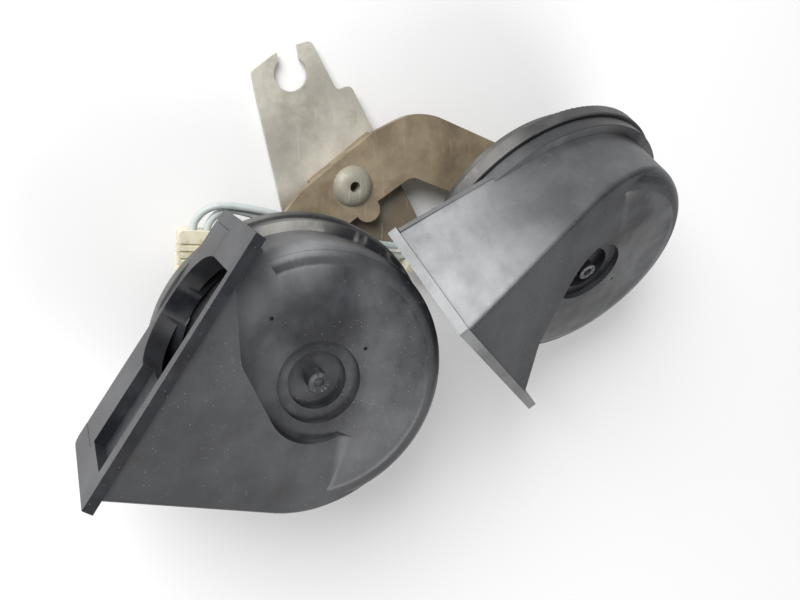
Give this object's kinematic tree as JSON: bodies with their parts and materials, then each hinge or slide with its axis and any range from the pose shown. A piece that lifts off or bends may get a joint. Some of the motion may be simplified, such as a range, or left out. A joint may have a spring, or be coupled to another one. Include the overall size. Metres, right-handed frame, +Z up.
{
  "type": "twin-note car snail horn set",
  "caption": "Low and high note snail trumpet horns, bolted by their backs to one bent arched strap with a hooked fixing plate, joined by a two-wire lead.",
  "frame": {"origin": "middle of the bounding box, on the surface that the set lies on, backs down", "axes": "+Z up from that surface; +X from the low horn towards the high horn, along the longest extent; +Y towards the hooked plate"},
  "size_m": [0.2414, 0.162, 0.0951],
  "materials": {
    "plated_steel": "zinc plated",
    "bare_steel": "turned steel",
    "bobbin_plastic": "natural plastic",
    "black_can": "black-coated pressed steel, worn at the rim",
    "winding": "enamelled copper wire",
    "contact_metal": "plain strip",
    "spring_steel": "thin spring steel",
    "dusty_plastic": "moulded black plastic under pale dust",
    "sealing": "sealing ring",
    "cream_plastic": "cream moulding, soiled",
    "dark_plastic": "moulded black plastic",
    "plate_steel": "dull plating with grey soil",
    "lead_cover": "grey-green insulation",
    "rivet_steel": "dull pale plating",
    "strap_steel": "yellowed plating with brown soil"
  },
  "bodies": {
    "root": {"high_adjusting_screw": "plated_steel", "high_armature": "bare_steel", "high_armature_nut": "bare_steel", "high_bobbin": "bobbin_plastic", "high_can": "black_can", "high_coil": "winding", "high_contact_base": "bobbin_plastic", "high_contact_spring": "contact_metal", "high_diaphragm": "spring_steel", "high_fixed_contact": "contact_metal", "high_front_shell": "dusty_plastic", "high_gasket": "sealing", "high_nut": "plated_steel", "high_plug": "cream_plastic", "high_pole_core": "bare_steel", "high_rear_shell": "dark_plastic", "high_terminal_block": "dark_plastic", "high_terminals": "contact_metal", "high_washer": "plated_steel", "hook_plate": "plate_steel", "lead_a": "lead_cover", "lead_b": "lead_cover", "low_adjusting_screw": "plated_steel", "low_armature": "bare_steel", "low_armature_nut": "bare_steel", "low_bobbin": "bobbin_plastic", "low_can": "black_can", "low_coil": "winding", "low_contact_base": "bobbin_plastic", "low_contact_spring": "contact_metal", "low_diaphragm": "spring_steel", "low_fixed_contact": "contact_metal", "low_front_shell": "dusty_plastic", "low_gasket": "sealing", "low_nut": "plated_steel", "low_plug": "cream_plastic", "low_pole_core": "bare_steel", "low_rear_shell": "dark_plastic", "low_terminal_block": "dark_plastic", "low_terminals": "contact_metal", "low_washer": "plated_steel", "rivet": "rivet_steel", "spacer": "plated_steel", "strap": "strap_steel"}
  },
  "joints": []
}
